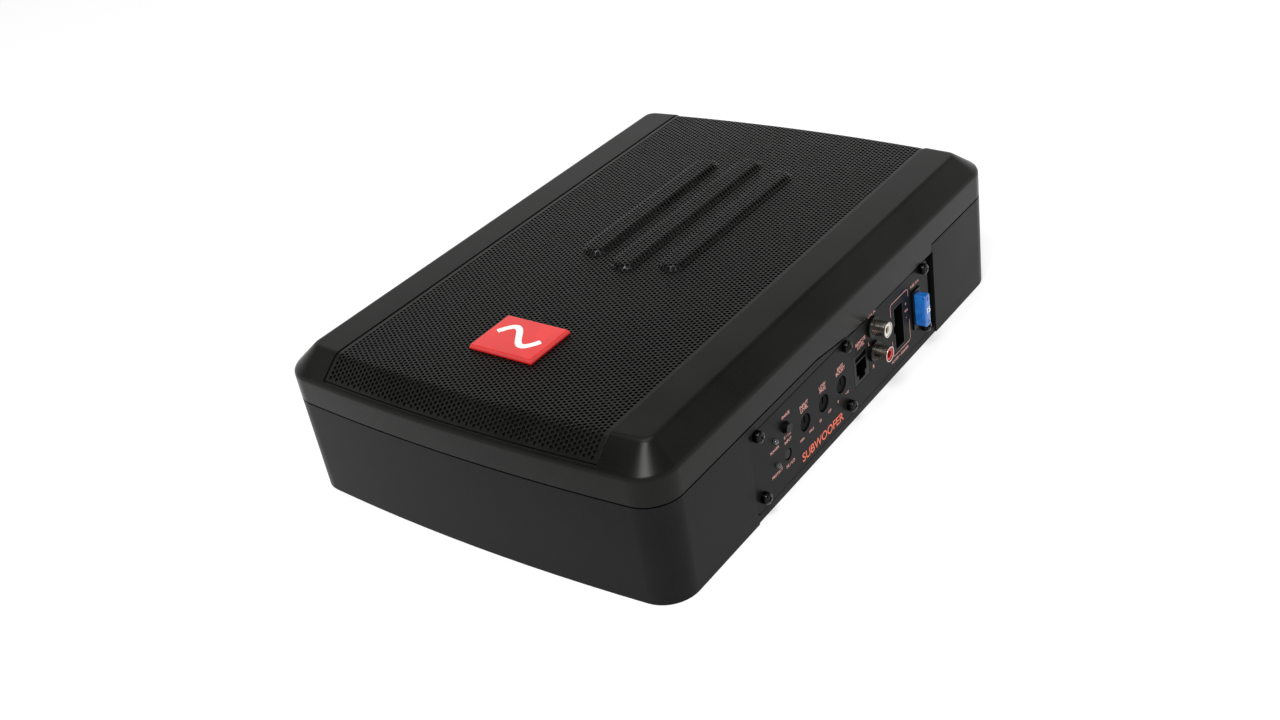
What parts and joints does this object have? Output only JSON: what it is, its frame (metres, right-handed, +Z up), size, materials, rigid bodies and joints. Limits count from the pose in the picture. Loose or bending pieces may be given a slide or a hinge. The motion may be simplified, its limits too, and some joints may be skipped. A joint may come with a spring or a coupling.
{
  "type": "powered car subwoofer",
  "caption": "Flat oblong under-seat bass enclosure with folded perforated grille, bevelled cover, side control panel with knobs, push buttons, phono sockets, power socket and pull-out fuse.",
  "frame": {"origin": "centre of the flat underside, on the surface the box stands on", "axes": "+X along the length, away from the badge; -Y is the side with the control panel; +Z up through the grille"},
  "size_m": [0.34, 0.2468, 0.0842],
  "materials": {
    "pan_alloy": "fine textured black powder coat on die-cast aluminium",
    "cover_abs": "fine spark-eroded texture, black",
    "rubber_seal": "matte",
    "grille_steel": "satin black powder coat on perforated sheet",
    "badge_red": "satin",
    "badge_white": "satin",
    "black_screw": "black zinc",
    "brass_insert": "machined",
    "panel_plate": "fine textured black",
    "knob_nylon": "matte",
    "plain_steel": "zinc plated",
    "pot_body": "folded tinplate can",
    "button_abs": "satin",
    "lens_clear": "clear",
    "socket_nylon": "satin black nylon",
    "gold_contact": "gold flash",
    "nickel_shell": "nickel plate",
    "insulator_white": "gloss",
    "insulator_red": "gloss",
    "tin_plate": "tin plate",
    "fuse_blue": "translucent moulded blue",
    "circuit_board": "solder mask",
    "ferrite": "sintered",
    "copper_wire": "enamelled copper",
    "capacitor_sleeve": "shrink sleeve",
    "epoxy_black": "moulded epoxy",
    "bare_aluminium": "extruded",
    "basket_steel": "satin black",
    "surround_rubber": "satin",
    "cone_paper": "pressed pulp, black",
    "spider_cloth": "resin-dipped weave",
    "former_paper": "kraft",
    "zinc_steel": "zinc plated, machined",
    "lead_red": "stranded lead sleeve"
  },
  "bodies": {
    "casing": {"bottom_pan": "pan_alloy", "top_cover": "cover_abs", "seam_gasket": "rubber_seal", "grille": "grille_steel", "badge_plate": "badge_red", "badge_wave": "badge_white", "case_screws": "black_screw", "bracket_inserts": "brass_insert", "control_panel": "panel_plate", "panel_screws": "black_screw", "potentiometers": "pot_body", "button_switches": "socket_nylon", "indicator_lenses": "lens_clear", "remote_socket": "socket_nylon", "remote_contacts": "gold_contact", "phono_block": "socket_nylon", "phono_shells": "nickel_shell", "phono_insulator_white": "insulator_white", "phono_insulator_red": "insulator_red", "phono_contacts": "gold_contact", "power_socket": "socket_nylon", "power_pins": "tin_plate", "fuse_holder": "socket_nylon", "fuse_clips": "tin_plate", "main_board": "circuit_board", "control_board": "circuit_board", "board_screws": "plain_steel", "transformer_core": "ferrite", "transformer_winding": "copper_wire", "capacitors": "capacitor_sleeve", "power_transistors": "epoxy_black", "heat_bar": "bare_aluminium", "driver_basket": "basket_steel", "driver_gasket": "rubber_seal", "surround": "surround_rubber", "spider": "spider_cloth", "top_plate": "zinc_steel", "magnet": "ferrite", "pole_yoke": "zinc_steel", "driver_terminals": "tin_plate", "tinsel_leads": "copper_wire", "driver_screws": "plain_steel", "speaker_leads": "lead_red"},
    "gain_control": {"gain_knob": "knob_nylon", "gain_shaft": "plain_steel"},
    "crossover_control": {"crossover_knob": "knob_nylon", "crossover_shaft": "plain_steel"},
    "boost_control": {"boost_knob": "knob_nylon", "boost_shaft": "plain_steel"},
    "phase_push": {"phase_button": "button_abs"},
    "input_push": {"input_button": "button_abs"},
    "diaphragm": {"cone": "cone_paper", "dust_cap": "cone_paper", "coil_former": "former_paper", "coil_winding": "copper_wire"},
    "fuse": {"fuse_body": "fuse_blue", "fuse_blades": "tin_plate"}
  },
  "joints": [
    {"name": "gain_turn", "type": "hinge", "parent": "casing", "child": "gain_control", "pos_m": [-0.0465, -0.1182, 0.02755], "axis": [0, -1, 0], "range_deg": [-140, 140]},
    {"name": "crossover_turn", "type": "hinge", "parent": "casing", "child": "crossover_control", "pos_m": [-0.0285, -0.1182, 0.02755], "axis": [0, -1, 0], "range_deg": [-140, 140]},
    {"name": "boost_turn", "type": "hinge", "parent": "casing", "child": "boost_control", "pos_m": [-0.0105, -0.1182, 0.02755], "axis": [0, -1, 0], "range_deg": [-140, 140]},
    {"name": "phase_press", "type": "slide", "parent": "casing", "child": "phase_push", "axis": [0, 1, 0], "range_m": [0, 0.003], "stiffness_N_per_m": 200},
    {"name": "input_release", "type": "slide", "parent": "casing", "child": "input_push", "axis": [0, -1, 0], "range_m": [0, 0.003]},
    {"name": "cone_travel", "type": "slide", "parent": "casing", "child": "diaphragm", "axis": [0, 0, 1], "range_m": [-0.007, 0.007], "stiffness_N_per_m": 3500, "deforming": ["surround", "spider", "tinsel_leads"]},
    {"name": "fuse_pull", "type": "slide", "parent": "casing", "child": "fuse", "axis": [0, -1, 0], "range_m": [0, 0.016]}
  ]
}
